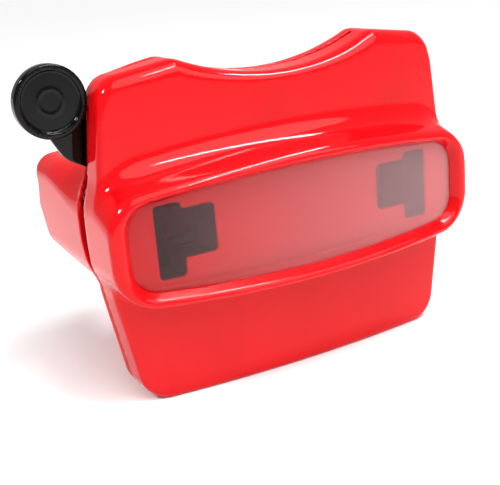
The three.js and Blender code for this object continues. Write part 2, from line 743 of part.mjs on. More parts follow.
// A coil wound round the pivot's boss: one leg hooks into the lever, the other into the frame.
function returnSpring() {
  const front = LEVER_BACK + GAP;
  const legFront = front + 0.3;
  const legBack = legFront + 2 * SPRING_WIRE_HALF;
  const hook = SPRING_WIRE_HALF + 0.05;
  const coil = pipe(5.6, 7, front, front + 1.6, PIVOT_X, PIVOT_Z, 20);
  const leverLeg = wire(PIVOT_X - 6.1, 61.5, SPRING_HOOK_X, SPRING_HOOK_Z, legFront, legBack);
  const leverHook = rod(hook, LEVER_FRONT + 0.4, legBack, SPRING_HOOK_X, SPRING_HOOK_Z, 12);
  const frameLeg = wire(PIVOT_X + 5.3, 62, FRAME_HOOK_X, FRAME_HOOK_Z, legFront, legBack);
  const frameHook = rod(hook, PLATE_BACK + GAP, legBack, FRAME_HOOK_X, FRAME_HOOK_Z, 12);
  return union([coil, leverLeg, leverHook, frameLeg, frameHook]);
}

// ---------------------------------------------------------------- assembly

const viewer = new THREE.Group();

viewer.add(toMesh("front_shell", frontShell(), redPlastic));
viewer.add(toMesh("rear_shell", rearShell(), redPlastic));
viewer.add(toMesh("diffuser_window", diffuserWindow(), frosted));
viewer.add(toMesh("reel_guide_plate", reelGuide(), darkPlastic));
viewer.add(toMesh("mechanism_plate", mechanismPlate(), darkPlastic));
viewer.add(toMesh("reel_spring_left", reelSpring(-15), springSteel));
viewer.add(toMesh("reel_spring_right", reelSpring(15), springSteel));
for (const [word, side] of [["left", -1], ["right", 1]]) {
  viewer.add(toMesh(`eye_tube_${word}`, eyeTube(side), redPlastic));
  viewer.add(toMesh(`lens_${word}`, lens(side), clear));
  viewer.add(toMesh(`lens_ring_${word}`, lensRing(side), blackPlastic));
}
viewer.add(toMesh("advance_lever", leverArm(), blackPlastic));
viewer.add(toMesh("pivot_pin", pivotPin(), steel));
viewer.add(toMesh("pivot_washer", washer(), brass));
viewer.add(toMesh("return_spring", returnSpring(), springSteel));
viewer.add(toMesh("reel_claw", reelClaw(), springSteel));
const rivetHeadY = LEVER_BACK + 1.6;
const rivet = headedPin(RIVET_RADIUS, rivetHeadY, LEVER_FRONT + 0.1, 1.8, 0.7, RIVET_X, RIVET_Z);
viewer.add(toMesh("claw_rivet", rivet, brass));
for (const [name, x, z] of CASE_SCREWS) {
  const tip = 1.4;
  const screw = crossScrew(x, z, SCREW_HEAD_Y, tip, CASE_SCREW_RADIUS, SCREW_HEAD_RADIUS, 1.7);
  viewer.add(toMesh(name, screw, steel));
}
for (const [name, x, z] of PLATE_SCREWS) {
  const screw = headedPin(PLATE_SCREW_RADIUS, TRACK_BACK - GAP, BACK_Y - 1.6, 2.2, 0.9, x, z);
  viewer.add(toMesh(name, screw, steel));
}

const box = new THREE.Box3().setFromObject(viewer);
const middle = box.getCenter(new THREE.Vector3());
viewer.position.set(-middle.x, -middle.y, -box.min.z);

export default viewer;
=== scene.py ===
import math

import bmesh
import bpy
import numpy as np
from mathutils import Euler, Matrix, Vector


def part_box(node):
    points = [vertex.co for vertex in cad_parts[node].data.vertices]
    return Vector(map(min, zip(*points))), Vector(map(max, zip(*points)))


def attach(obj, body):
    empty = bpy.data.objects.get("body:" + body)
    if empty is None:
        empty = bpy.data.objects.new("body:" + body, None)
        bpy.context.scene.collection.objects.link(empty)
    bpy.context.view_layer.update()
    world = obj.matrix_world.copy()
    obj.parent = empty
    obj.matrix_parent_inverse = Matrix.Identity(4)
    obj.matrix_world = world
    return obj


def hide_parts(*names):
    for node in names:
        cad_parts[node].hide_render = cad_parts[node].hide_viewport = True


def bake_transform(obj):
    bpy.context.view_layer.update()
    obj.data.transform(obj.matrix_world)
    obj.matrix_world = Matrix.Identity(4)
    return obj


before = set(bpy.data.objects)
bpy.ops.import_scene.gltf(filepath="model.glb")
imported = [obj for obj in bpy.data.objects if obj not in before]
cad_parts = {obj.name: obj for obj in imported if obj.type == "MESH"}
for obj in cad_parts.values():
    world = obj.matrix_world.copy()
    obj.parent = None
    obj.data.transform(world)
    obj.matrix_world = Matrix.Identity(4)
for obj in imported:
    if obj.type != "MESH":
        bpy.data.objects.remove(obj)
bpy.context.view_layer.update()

# Every piece is drawn in millimetres about the viewer's centre plane X = 0, standing on Z = 0, with
# the window facing -Y. A shell or lever is a distance field, below zero inside the plastic, that is
# turned into a mesh of quads. to_metres() puts a piece where the frame says.

# ---------------------------------------------------------------- dimensions, in millimetres

MM = 0.001
WALL = 2.0
GAP = 0.35  # clearance between neighbouring pieces

EYE_HALF = 32.0
EYE_Z = 49.7

BASE_HALF = 50.8
WAIST_HALF = 57.0
SHOULDER_HALF = 53.6
SHOULDER_Z = 91.9
PEAK_X = 31.97
PEAK_Z = 95.15
SCOOP_RADIUS = 75.0
SCOOP_Z = 88.1
SCOOP_HALF = 28.5

FRONT_Y = -2.2
FRONT_BOW = 4.2
PART_Y = 7.0
BACK_Y = 13.0
FOOT_Y = 36.0
FOOT_HALF = 36.0
SIDE_EDGE = 1.5  # rounding of the front edges at the sides
TOP_EDGE = 4.4  # and at the top
BACK_EDGE = 4.0  # rounding of the back edges, apart from the shoulders
BOW_HALF = 55.0  # X at which a bowed front reaches the Y that is given for it

# bands seen from the front: half width, bottom and top at the middle, how far the bottom rises and
# the top drops by X = ARCH_HALF, and the radius of the corners
ARCH_HALF = 48.0
HOOD = {"half": 59.3, "bottom": 29.7, "sag": 1.6, "top": 69.3, "arch": 3.4, "corner": 11.0}
EYE_HOOD = {**HOOD, "arch": 2.5}
WINDOW = {"half": 53.6, "bottom": 33.2, "sag": 2.0, "top": 62.9, "arch": 3.0, "corner": 6.5}
HOOD_FRONT_Y = -12.3
HOOD_BOW = 5.8
HOOD_BOW_HALF = 58.0
RIM_FLARE = 1.6  # how much wider the recess is at the rim than at the window
PANE_Y = -10.1  # front face of the window at its ends
PANE_THICK = 1.2
PANE_BOW = 4.6
FLOOR_Y = -8.5  # floor of the recess behind the window
FLOOR_THICK = 1.5

# the T-shaped light openings: a square picture opening that runs into a taller outer bar
SQUARE_Z = 49.1
SQUARE_INNER = 27.2
SQUARE_OUTER = 40.0  # anywhere inside the bar
SQUARE_HALF = 6.9
BAR_Z = 47.7
BAR_INNER = 37.2
BAR_OUTER = 45.1
BAR_HALF = 10.4

EYE_HOOD_BACK = 55.0
TUBE_START = 45.0
TUBE_END = 72.0
TUBE_OUTER = 16.5
TUBE_INNER = 14.4
BARREL_RADIUS = 10.8
LENS_RADIUS = 12.0
LENS_SEAT_Y = 54.0
LENS_EDGE = 2.4
LENS_BULGE = 1.9
LENS_MIDDLE_Y = LENS_SEAT_Y + 0.7 + LENS_EDGE / 2
NOSE_HALF = 15.0
NOSE_TOP = 46.0
NOSE_APEX_Y = 22.0

GUIDE_FRONT = 2.6
TRACK_FRONT = 4.0
TRACK_BACK = 7.0
PLATE_BACK = 8.4
LEVER_FRONT = 8.8
LEVER_BACK = 10.8

SLOT_RADIUS = 20.0
HALF_SCENE = math.pi / 7
LEVER_SWING = math.radians(28)
CRANK_TILT = math.radians(-34.2)
CLAW_REACH = SLOT_RADIUS * math.sin(HALF_SCENE) / math.sin(LEVER_SWING / 2)
PIVOT_TO_REEL = CLAW_REACH * math.cos(LEVER_SWING / 2) - SLOT_RADIUS * math.cos(HALF_SCENE)
PIVOT_X = -PIVOT_TO_REEL * math.cos(CRANK_TILT)
PIVOT_Z = EYE_Z - PIVOT_TO_REEL * math.sin(CRANK_TILT)
CLAW_REST = CRANK_TILT - LEVER_SWING / 2
RIVET_REACH = 22.0
CLAW_ROOT = 18.8
RIVET_X = PIVOT_X + RIVET_REACH * math.cos(CLAW_REST)
RIVET_Z = PIVOT_Z + RIVET_REACH * math.sin(CLAW_REST)
PIVOT_BORE = 2.35  # radius of the lever's hole for the pin, and so on
HOOK_BORE = 0.9
RIVET_BORE = 1.05
SPRING_HOOK = (-27.0, 62.5)
FRAME_HOOK = (-3.0, 65.3)
THUMB_X = -64.3
THUMB_Z = 87.7
THUMB_RADIUS = 9.8
THUMB_NECK = 6.0
DISH_RADIUS = 8.1
THUMB_FRONT = 3.8
THUMB_BACK = 7.2

CASE_SCREWS = {
    "case_screw_upper_left": (-38, 87),
    "case_screw_upper_right": (38, 87),
    "case_screw_lower_left": (-42.5, 12),
    "case_screw_lower_right": (42.5, 12),
}
PLATE_SCREWS = {"plate_screw_left": (-45, 26.5), "plate_screw_right": (45, 26.5)}

# the slot in the rear shell's left edge that the lever swings in
SLOT_LEFT = -66.0
SLOT_RIGHT = -50.0
SLOT_Z = 61.0
SLOT_HALF = 26.6

REEL_SPRING_X = 15.0
REEL_SPRING_Z = 65.0
REEL_SPRING_HALF_WIDTH = 2.5

PLATE_EDGE = 0.25  # rounding of the two track plates' edges
SHELL_PITCH = 0.9  # cell size of the two shells' meshes

# ---------------------------------------------------------------- place in the frame

lens_low, lens_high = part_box("lens_left")[0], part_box("lens_right")[1]
shell_low, shell_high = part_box("front_shell")
ORIGIN = Vector((
    (lens_low.x + lens_high.x) / 2,
    shell_high.y - (PART_Y - GAP / 2) * MM,
    shell_low.z,
))


def to_metres(points):
    return np.asarray(points, float) * MM + np.array(ORIGIN)


# ---------------------------------------------------------------- fields


def smooth_max(a, b, radius):
    """The intersection of two fields, with its outer edge rounded."""
    near = np.hypot(np.maximum(a + radius, 0), np.maximum(b + radius, 0))
    return np.minimum(-radius, np.maximum(a, b)) + near


def smooth_min(a, b, radius):
    """The union of two fields, with its inner corner filled by a fillet."""
    return -smooth_max(-a, -b, radius)


def smooth_step(value, low, high):
    t = np.clip((value - low) / (high - low), 0, 1)
    return t * t * (3 - 2 * t)


def right_of(x, z, start, end):
    """Distance to the right-hand side of the line from start to end."""
    along_x, along_z = end[0] - start[0], end[1] - start[1]
    length = math.hypot(along_x, along_z)
    return ((x - start[0]) * along_z - (z - start[1]) * along_x) / length


def rectangle(u, v, u_low, u_high, v_half, radius=0.0):
    across = np.abs(u - (u_low + u_high) / 2) - (u_high - u_low) / 2 + radius
    up = np.abs(v) - v_half + radius
    outside = np.hypot(np.maximum(across, 0), np.maximum(up, 0))
    return outside + np.minimum(np.maximum(across, up), 0) - radius


def between(value, low, high):
    return np.maximum(low - value, value - high)


def rod(x, y, z, centre, radius, y_low, y_high):
    return np.maximum(np.hypot(x - centre[0], z - centre[1]) - radius, between(y, y_low, y_high))


def drilled(field, x, y, z, centre, radius):
    """The field with a hole right through it, parallel to Y."""
    return np.maximum(field, -rod(x, y, z, centre, radius, 0, 20))


def bowed_front(x, y, end_y, bow, half=BOW_HALF):
    """Distance ahead of a front that is bowed in plan."""
    ahead = end_y - bow * (1 - (x / half) ** 2) - y
    return ahead / np.sqrt(1 + (2 * bow * x / half**2) ** 2)


def body_outline(x, z):
    """Front view of the housing: tapered sides, sloping shoulders and a scoop for the fingers."""
    side = np.abs(x)
    corners = [
        (0, 0, 0),
        (BASE_HALF, 0, 9),
        (WAIST_HALF - 0.4, 33, 12),
        (WAIST_HALF, 64, 12),
        (SHOULDER_HALF, SHOULDER_Z, 7),
        (PEAK_X, PEAK_Z, 6),
    ]
    field = None
    heading = None
    for (x0, z0, radius), (x1, z1, _) in zip(corners, corners[1:]):
        line = right_of(side, z, (x0, z0), (x1, z1))
        new_heading = math.atan2(z1 - z0, x1 - x0)
        if field is None:
            field = line
        else:
            field = smooth_max(field, line, radius * (1 - math.cos(new_heading - heading)))
        heading = new_heading
    scoop = SCOOP_RADIUS - np.hypot(side, z - SCOOP_Z - SCOOP_RADIUS)
    return smooth_max(field, scoop, 1.0)


def band_outline(x, z, band, drop=0.0, corner=None):
    """Front view of a band: wide, with round ends, arched at its top and slightly at its bottom."""
    side = np.abs(x)
    radius = band["corner"] if corner is None else corner
    steepness = 2 * band["arch"] * side / ARCH_HALF**2
    along = (side / ARCH_HALF) ** 2
    top = (z - band["top"] + drop + band["arch"] * along) / np.sqrt(1 + steepness**2)
    bottom = band["bottom"] + band["sag"] * along - z
    flank = side - band["half"] + 0.3 * ((z - EYE_Z) / 16) ** 2
    return smooth_max(smooth_max(top, flank, radius), bottom, radius)


def light_outline(x, z):
    """The T-shaped light openings: a square picture opening and a taller outer bar on each side."""
    side = np.abs(x)
    square = rectangle(side, z - SQUARE_Z, SQUARE_INNER, SQUARE_OUTER, SQUARE_HALF, 1.5)
    bar = rectangle(side, z - BAR_Z, BAR_INNER, BAR_OUTER, BAR_HALF, 1.2)
    return smooth_min(square, bar, 0.8)


def hood_fillet(x, z, widest):
    """Radius of the fillet between a hood and the body: wide above it, small elsewhere."""
    above = smooth_step(z, 44, 62)
    inboard = 1 - smooth_step(np.abs(x), 46, 57)
    return 1.8 + above * (1.4 + (widest - 3.2) * inboard)


def window_hood(x, y, z):
    """The hood round the window. Its top is level at the body and slopes down to the front."""
    ahead = bowed_front(x, y, HOOD_FRONT_Y, HOOD_BOW, HOOD_BOW_HALF)
    depth = np.clip(-ahead / 11, 0, 1)
    corner = HOOD["corner"] - 2.5 * smooth_step(z, 46, 56)
    outline = band_outline(x, z, HOOD, drop=3.6 * (1 - depth) ** 1.4, corner=corner)
    return smooth_max(outline, ahead, 1.5 + 1.0 * smooth_step(z, 55, 62))


def window_recess(x, y, z):
    """The space in front of the window, wider at the rim."""
    pane_front = -bowed_front(x, y, PANE_Y, PANE_BOW)
    flare = np.clip(-pane_front / 3, 0, 1.4) * (RIM_FLARE + 0.9 * smooth_step(np.abs(x), 46, 54))
    outline = band_outline(x, z, WINDOW) - flare
    return smooth_max(outline, y - FLOOR_Y, 0.8)


def front_outside(x, y, z):
    edge = SIDE_EDGE + (TOP_EDGE - SIDE_EDGE) * smooth_step(z, 82, 92)
    body = smooth_max(body_outline(x, z), bowed_front(x, y, FRONT_Y, FRONT_BOW), edge)
    return smooth_min(body, window_hood(x, y, z), hood_fillet(x, z, 5.5))


def front_shell(x, y, z):
    edge = PART_Y - GAP / 2
    hood = band_outline(x, z, HOOD, drop=1.8)
    inner_front = bowed_front(x, y, FRONT_Y + WALL, FRONT_BOW)
    hollow = smooth_max(body_outline(x, z) + WALL, inner_front, 1.6)
    hollow = smooth_min(hollow, np.maximum(hood + WALL, FLOOR_Y + FLOOR_THICK + 0.3 - y), 1.0)
    shell = np.maximum(smooth_max(front_outside(x, y, z), y - edge, 0.5), -hollow)
    shell = smooth_max(shell, -window_recess(x, y, z), 1.0)
    light = light_outline(x, z)
    shell = np.minimum(shell, np.maximum(light - 1.4, between(y, FLOOR_Y + 0.5, GUIDE_FRONT - GAP)))
    for place in CASE_SCREWS.values():
        shell = np.minimum(shell, rod(x, y, z, place, 3.4, -2.4, edge))
        shell = np.maximum(shell, -rod(x, y, z, place, 1.35, 0.8, edge + 2))
    shell = smooth_max(shell, -np.maximum(light, between(y, FLOOR_Y - 2, GUIDE_FRONT)), 0.5)
    reel_slot = np.maximum(np.abs(x) - SCOOP_HALF - 2, between(y, TRACK_FRONT + 0.1, edge + 2))
    return np.maximum(shell, -np.maximum(reel_slot, 80 - z))


def eye_hood(x, y, z):
    """The eyepiece hood: a nearly level top and an underside that rises to the back."""
    corner = 11 - 5.5 * smooth_step(y, 12, 40) * smooth_step(z, 46, 56)
    field = band_outline(x, z, EYE_HOOD, corner=corner)
    field = smooth_max(field, right_of(y, z, (5, 31), (48, 37.5)), 5)
    field = smooth_max(field, right_of(y, z, (52, 66.4), (5, 69.3)), 0.8)
    back = smooth_max(right_of(y, z, (48, 37), (55, 50)), right_of(y, z, (55, 50), (51, 68)), 3)
    return smooth_max(field, back, 7 - 3.5 * smooth_step(z, 56, 66))


def back_edge(x, z):
    """Radius of the rear shell's outer edges, larger at its shoulders."""
    return BACK_EDGE + 3 * smooth_step(np.abs(x), 36, 48) * smooth_step(z, 80, 88)


def rear_outside(x, y, z):
    slab = smooth_max(body_outline(x, z), y - BACK_Y, back_edge(x, z))
    flank = np.abs(x) - FOOT_HALF - 2 * (FOOT_Y - y) / (FOOT_Y - 4)
    foot = smooth_max(smooth_max(flank, y - FOOT_Y, 6), -z, 1.5)
    foot = np.maximum(foot, z - 40)
    body = smooth_min(slab, eye_hood(x, y, z), hood_fillet(x, z, 4))
    body = smooth_min(body, foot, 2.5)
    nose = smooth_max(smooth_max(np.abs(x) - NOSE_HALF, NOSE_APEX_Y - y, 12), z - NOSE_TOP, 5)
    return np.maximum(smooth_max(body, -nose, 2.5), -z)


def rear_shell(x, y, z):
    edge = PART_Y + GAP / 2
    outside = rear_outside(x, y, z)
    slab_hollow = smooth_max(body_outline(x, z) + WALL, y - BACK_Y + 1.6, back_edge(x, z) - 1.6)
    lip = 0.5 + 0.9 * smooth_step(np.abs(x), 50, 56)
    shell = np.maximum(smooth_max(outside, edge - y, lip), -np.minimum(outside + WALL, slab_hollow))
    axis = np.hypot(np.abs(x) - EYE_HALF, z - EYE_Z)
    tube_hole = np.maximum(axis - TUBE_OUTER - GAP, TUBE_START - GAP - y)
    shell = smooth_max(shell, -tube_hole, 0.5)
    for place in CASE_SCREWS.values():
        shell = np.minimum(shell, rod(x, y, z, place, 4.2, edge, BACK_Y - 0.5))
        shell = drilled(shell, x, y, z, place, 1.75)
        shell = smooth_max(shell, -rod(x, y, z, place, 3.3, BACK_Y - 2, 20), 0.4)
    for place in PLATE_SCREWS.values():
        shell = np.minimum(shell, rod(x, y, z, place, 2.8, PLATE_BACK + GAP, BACK_Y - 0.5))
        shell = np.maximum(shell, -rod(x, y, z, place, 1.25, 0, BACK_Y - 1))
    slot = rectangle(x, z - SLOT_Z, SLOT_LEFT, SLOT_RIGHT, SLOT_HALF, 1.5)
    slot_back = PART_Y + (LEVER_BACK + 0.9 - PART_Y) * smooth_step(z, 34, 50)
    return smooth_max(shell, -np.maximum(slot, between(y, PART_Y - 1, slot_back)), 0.5)


def window_pane(x, y, z):
    front = bowed_front(x, y, PANE_Y, PANE_BOW)
    back = bowed_front(x, y, PANE_Y + PANE_THICK, PANE_BOW)
    pane = smooth_max(band_outline(x, z, WINDOW) + 0.15, front, 0.3)
    return np.maximum(np.maximum(pane, -back), y - FLOOR_Y + 0.3)


def polygon_field(x, z, points):
    """Distance to a closed outline of points, negative inside."""
    x, z = np.broadcast_arrays(x, z)
    nearest = np.full(x.shape, np.inf)
    inside = np.zeros(x.shape, bool)
    for (x0, z0), (x1, z1) in zip(points, np.roll(points, -1, axis=0)):
        dx, dz = x1 - x0, z1 - z0
        share = np.clip(((x - x0) * dx + (z - z0) * dz) / (dx * dx + dz * dz), 0, 1)
        nearest = np.minimum(nearest, np.hypot(x - x0 - share * dx, z - z0 - share * dz))
        if z0 != z1:
            crosses = (z0 > z) != (z1 > z)
            inside ^= crosses & (x < x0 + (z - z0) * dx / dz)
    return np.where(inside, -nearest, nearest)


def rounded_points(corners, closed=True, steps=6):
    """Corners of [x, y, radius] as points, with each rounded corner as a tangent arc."""
    points = []
    count = len(corners)
    for i, corner in enumerate(corners):
        here = Vector(corner[:2])
        radius = corner[2] if len(corner) > 2 else 0
        if radius == 0 or (not closed and i in (0, count - 1)):
            points.append(here)
            continue
        back = (Vector(corners[i - 1][:2]) - here).normalized()
        ahead = (Vector(corners[(i + 1) % count][:2]) - here).normalized()
        half = back.angle(ahead) / 2
        tangent = radius / math.tan(half)
        centre = here + (back + ahead).normalized() * (radius / math.sin(half))
        first = here + back * tangent - centre
        last = here + ahead * tangent - centre
        turn = math.atan2(first.x * last.y - first.y * last.x, first.dot(last))
        for step in range(steps + 1):
            angle = turn * step / steps
            spoke = Vector((
                first.x * math.cos(angle) - first.y * math.sin(angle),
                first.x * math.sin(angle) + first.y * math.cos(angle),
            ))
            points.append(centre + spoke)
    return [tuple(point) for point in points]


LEVER_OUTLINE = rounded_points([
    (THUMB_X + 1, THUMB_Z + 5, 2),
    (-53, 83.6, 8),
    (-28, 70.5, 8),
    (PIVOT_X + 3, PIVOT_Z + 8.2, 6),
    (PIVOT_X + 9, PIVOT_Z + 1, 5),
    (4.6, 43.4, 2),
    (-1.6, 37.8, 2),
    (PIVOT_X - 5.5, PIVOT_Z - 6.5, 5),
    (-36, 60.4),
    (-53, 66.6, 12),
    (-61.2, 71.2, 8),
    (-66, 80, 2),
])


def advance_lever(x, y, z):
    arm = smooth_max(polygon_field(x, z, LEVER_OUTLINE), between(y, LEVER_FRONT, LEVER_BACK), 0.5)
    radial = np.hypot(x - THUMB_X, z - THUMB_Z)
    dish_floor = THUMB_FRONT + 1.0 - 0.16 * np.exp(-(((radial - 3.3) / 0.4) ** 2))
    disc = smooth_max(radial - THUMB_RADIUS, THUMB_FRONT - y, 0.7)
    disc = smooth_max(disc, y - THUMB_BACK, 0.5)
    dish = smooth_max(radial - DISH_RADIUS, y - dish_floor, 0.5)
    disc = smooth_max(disc, -dish, 0.35)
    neck = np.maximum(radial - THUMB_NECK, between(y, THUMB_BACK - 1, LEVER_BACK - 0.4))
    lever = smooth_min(smooth_min(arm, neck, 0.6), disc, 0.4)
    pivot = (PIVOT_X, PIVOT_Z)
    boss = rod(x, y, z, pivot, 4.6, LEVER_FRONT + 0.5, LEVER_BACK + 1.2)
    lever = smooth_min(lever, boss, 0.5)
    lever = drilled(lever, x, y, z, pivot, PIVOT_BORE)
    lever = drilled(lever, x, y, z, SPRING_HOOK, HOOK_BORE)
    return drilled(lever, x, y, z, (RIVET_X, RIVET_Z), RIVET_BORE)


# ---------------------------------------------------------------- meshes


def gradient(field, points, step=0.02):
    x, y, z = points.T
    return np.stack([
        field(x + step, y, z) - field(x - step, y, z),
        field(x, y + step, z) - field(x, y - step, z),
        field(x, y, z + step) - field(x, y, z - step),
    ], axis=1) / (2 * step)


def unit(vectors):
    return vectors / np.maximum(np.linalg.norm(vectors, axis=-1, keepdims=True), 1e-9)


def find_crossings(field, ticks, values, axis):
    """Where the surface crosses the grid's edges along one axis, and the cells round each."""
    lower = [slice(None)] * 3
    upper = [slice(None)] * 3
    lower[axis], upper[axis] = slice(None, -1), slice(1, None)
    first, second = values[tuple(lower)], values[tuple(upper)]
    index = np.argwhere((first < 0) != (second < 0))
    a, b = first[tuple(index.T)], second[tuple(index.T)]
    pitch = ticks[0][1] - ticks[0][0]
    points = np.stack([ticks[i][index[:, i]] for i in range(3)], axis=1)
    base = points[:, axis].copy()
    low, high = np.zeros(len(a)), np.ones(len(a))
    for _ in range(5):
        share = low + (high - low) * np.clip(a / (a - b), 0.02, 0.98)
        points[:, axis] = base + share * pitch
        value = field(*points.T)
        same = (value < 0) == (a < 0)
        low, a = np.where(same, share, low), np.where(same, value, a)
        high, b = np.where(same, high, share), np.where(same, b, value)
    u, v = (axis + 1) % 3, (axis + 2) % 3
    cells = np.repeat(index[:, None, :], 4, axis=1)
    cells[:, 1:3, u] -= 1
    cells[:, 2:4, v] -= 1
    flip = first[tuple(index.T)] >= 0
    cells[flip] = cells[flip][:, ::-1]
    return points, cells


def corner_normals(field, vertices, faces, blend=28):
    """A normal for each face corner, averaged where the surface is smooth and split at edges."""
    corners = vertices[faces]
    centre = corners.mean(axis=1, keepdims=True)
    samples = (corners + 0.3 * (centre - corners)).reshape(-1, 3)
    normals = unit(gradient(field, samples))
    owner = faces.ravel()
    order = np.argsort(owner, kind="stable")
    start = np.searchsorted(owner[order], np.arange(len(vertices)))
    rank = np.arange(len(owner)) - start[owner[order]]
    widest = rank.max() + 1
    around = np.zeros((len(vertices), widest, 3))
    around[owner[order], rank] = normals[order]
    alike = np.einsum("vid,vjd->vij", around, around) > math.cos(math.radians(blend))
    mixed = unit(np.einsum("vij,vjd->vid", alike.astype(float), around))
    result = np.empty_like(normals)
    result[order] = mixed[owner[order], rank]
    return result


def new_mesh(name, vertices, faces, normals=None):
    mesh = bpy.data.meshes.new(name)
    mesh.from_pydata(to_metres(vertices).tolist(), [], [list(map(int, face)) for face in faces])
    mesh.shade_smooth()
    if normals is None:
        mesh.set_sharp_from_angle(angle=math.radians(32))
    else:
        mesh.normals_split_custom_set(normals.tolist())
    piece = bpy.data.objects.new(name, mesh)
    bpy.context.scene.collection.objects.link(piece)
    return piece


def mesh_of_field(name, field, low, high, pitch):
    """A closed quad mesh of the field's surface, with its vertices drawn onto sharp edges."""
    ticks = [np.arange(low[i] - 1.37 * pitch, high[i] + 2 * pitch, pitch) for i in range(3)]
    grid = field(ticks[0][:, None, None], ticks[1][None, :, None], ticks[2][None, None, :])
    shape = tuple(len(t) for t in ticks)
    values = np.broadcast_to(grid, shape)
    found = [find_crossings(field, ticks, values, axis) for axis in range(3)]
    points = np.concatenate([f[0] for f in found])
    cells = np.concatenate([f[1] for f in found])
    flat = np.ravel_multi_index(tuple(cells.reshape(-1, 3).T), shape)
    used, faces = np.unique(flat, return_inverse=True)
    faces = faces.reshape(-1, 4)
    owner = faces.ravel()
    crossing = np.repeat(np.arange(len(points)), 4)
    count = np.bincount(owner)
    where = points[crossing]
    mass = np.stack([np.bincount(owner, where[:, i]) for i in range(3)], axis=1) / count[:, None]
    normal = unit(gradient(field, points))[crossing]
    gap = np.einsum("ij,ij->i", normal, where - mass[owner])
    right = np.stack([np.bincount(owner, normal[:, i] * gap) for i in range(3)], axis=1)
    left = np.empty((len(used), 3, 3))
    for i in range(3):
        for j in range(3):
            left[:, i, j] = np.bincount(owner, normal[:, i] * normal[:, j])
        left[:, i, i] += 0.03 * count
    vertices = mass + np.linalg.solve(left, right[:, :, None])[:, :, 0]
    cell_index = np.stack(np.unravel_index(used, shape), axis=1)
    cell_low = np.stack([ticks[i][cell_index[:, i]] for i in range(3)], axis=1)
    vertices = np.clip(vertices, cell_low, cell_low + pitch)
    for _ in range(2):
        slope = gradient(field, vertices)
        steepness = np.maximum((slope**2).sum(1, keepdims=True), 0.25)
        move = field(*vertices.T)[:, None] * slope / steepness
        vertices -= np.clip(move, -0.25 * pitch, 0.25 * pitch)
    return new_mesh(name, vertices, faces, corner_normals(field, vertices, faces))


def turned(name, corners, centre, segments=96, steps=5):
    """A profile of [radius, y, rounding] corners turned about a line parallel to Y."""
    profile = rounded_points(corners, closed=False, steps=steps)
    angles = np.arange(segments) * 2 * math.pi / segments
    vertices, rings = [], []
    for radius, y in profile:
        if radius < 1e-6:
            rings.append([len(vertices)])
            vertices.append((centre[0], y, centre[1]))
        else:
            rings.append(list(range(len(vertices), len(vertices) + segments)))
            vertices += [
                (centre[0] + radius * math.cos(a), y, centre[1] + radius * math.sin(a))
                for a in angles
            ]
    faces = []
    for ring, following in zip(rings, rings[1:]):
        for i in range(segments):
            j = (i + 1) % segments
            corner = [ring[j % len(ring)], ring[i % len(ring)]]
            corner += [following[i % len(following)], following[j % len(following)]]
            face = list(dict.fromkeys(corner))
            if len(face) > 2:
                faces.append(face)
    return new_mesh(name, vertices, faces)


def closed_ring(corners):
    """A turned profile that closes on itself, starting on a corner that isn't rounded."""
    return [*corners, corners[0][:2]]


def tube_along(name, path, radius, sides=12):
    """A round wire along a path, with domed ends."""
    path = np.asarray(path, float)
    heading = unit(np.gradient(path, axis=0))
    across = np.cross(heading[0], (0.0, 1.0, 0.0))
    if np.linalg.norm(across) < 0.1:
        across = np.cross(heading[0], (1.0, 0.0, 0.0))
    rings = []
    for point, ahead in zip(path, heading):
        across = unit(across - ahead * np.dot(across, ahead))
        up = np.cross(ahead, across)
        angles = np.arange(sides) * 2 * math.pi / sides
        spokes = np.outer(np.cos(angles), across) + np.outer(np.sin(angles), up)
        rings.append(point + radius * spokes)
    start = path[0] + (rings[0] - path[0]) * 0.6 - heading[0] * radius * 0.6
    end = path[-1] + (rings[-1] - path[-1]) * 0.6 + heading[-1] * radius * 0.6
    rings = [start, *rings, end]
    vertices = np.concatenate(rings)
    faces = []
    for ring in range(len(rings) - 1):
        for i in range(sides):
            j = (i + 1) % sides
            here, following = ring * sides, (ring + 1) * sides
            faces.append([here + i, here + j, following + j, following + i])
    faces.append(list(range(sides))[::-1])
    last = (len(rings) - 1) * sides
    faces.append(list(range(last, last + sides)))
    return new_mesh(name, vertices, faces)


def strip(name, outline, half_width, place, bevel):
    """A side outline of [along, depth] points given a width, with its edges rounded."""
    count = len(outline)
    vertices = []
    for side in (-1, 1):
        vertices += [place(along, depth, side * half_width) for along, depth in outline]
    faces = [[i, (i + 1) % count, (i + 1) % count + count, i + count] for i in range(count)]
    faces += [list(range(count))[::-1], list(range(count, 2 * count))]
    piece = new_mesh(name, vertices, faces)
    outward_faces(piece.data)
    round_edges(piece, bevel)
    return piece


def outward_faces(mesh):
    shape = bmesh.new()
    shape.from_mesh(mesh)
    bmesh.ops.recalc_face_normals(shape, faces=shape.faces)
    shape.to_mesh(mesh)
    shape.free()


def round_edges(piece, width, angle=32):
    """Rounds a piece's crisp edges by width, in millimetres."""
    bevel = piece.modifiers.new("rounded edges", "BEVEL")
    bevel.width = width * MM
    bevel.segments = 2
    bevel.limit_method = "ANGLE"
    bevel.angle_limit = math.radians(angle)
    bevel.harden_normals = True


# ---------------------------------------------------------------- materials


def add_node(tree, kind, **inputs):
    """A shader node with its inputs set by name: a socket is linked, anything else is a value."""
    node = tree.nodes.new(kind)
    for name, value in inputs.items():
        socket = node.inputs[name.replace("_", " ")]
        if isinstance(value, bpy.types.NodeSocket):
            tree.links.new(value, socket)
        else:
            socket.default_value = value
    return node


def new_material(name):
    material = bpy.data.materials.new(name)
    material.use_nodes = True
    return material, material.node_tree, material.node_tree.nodes["Principled BSDF"]


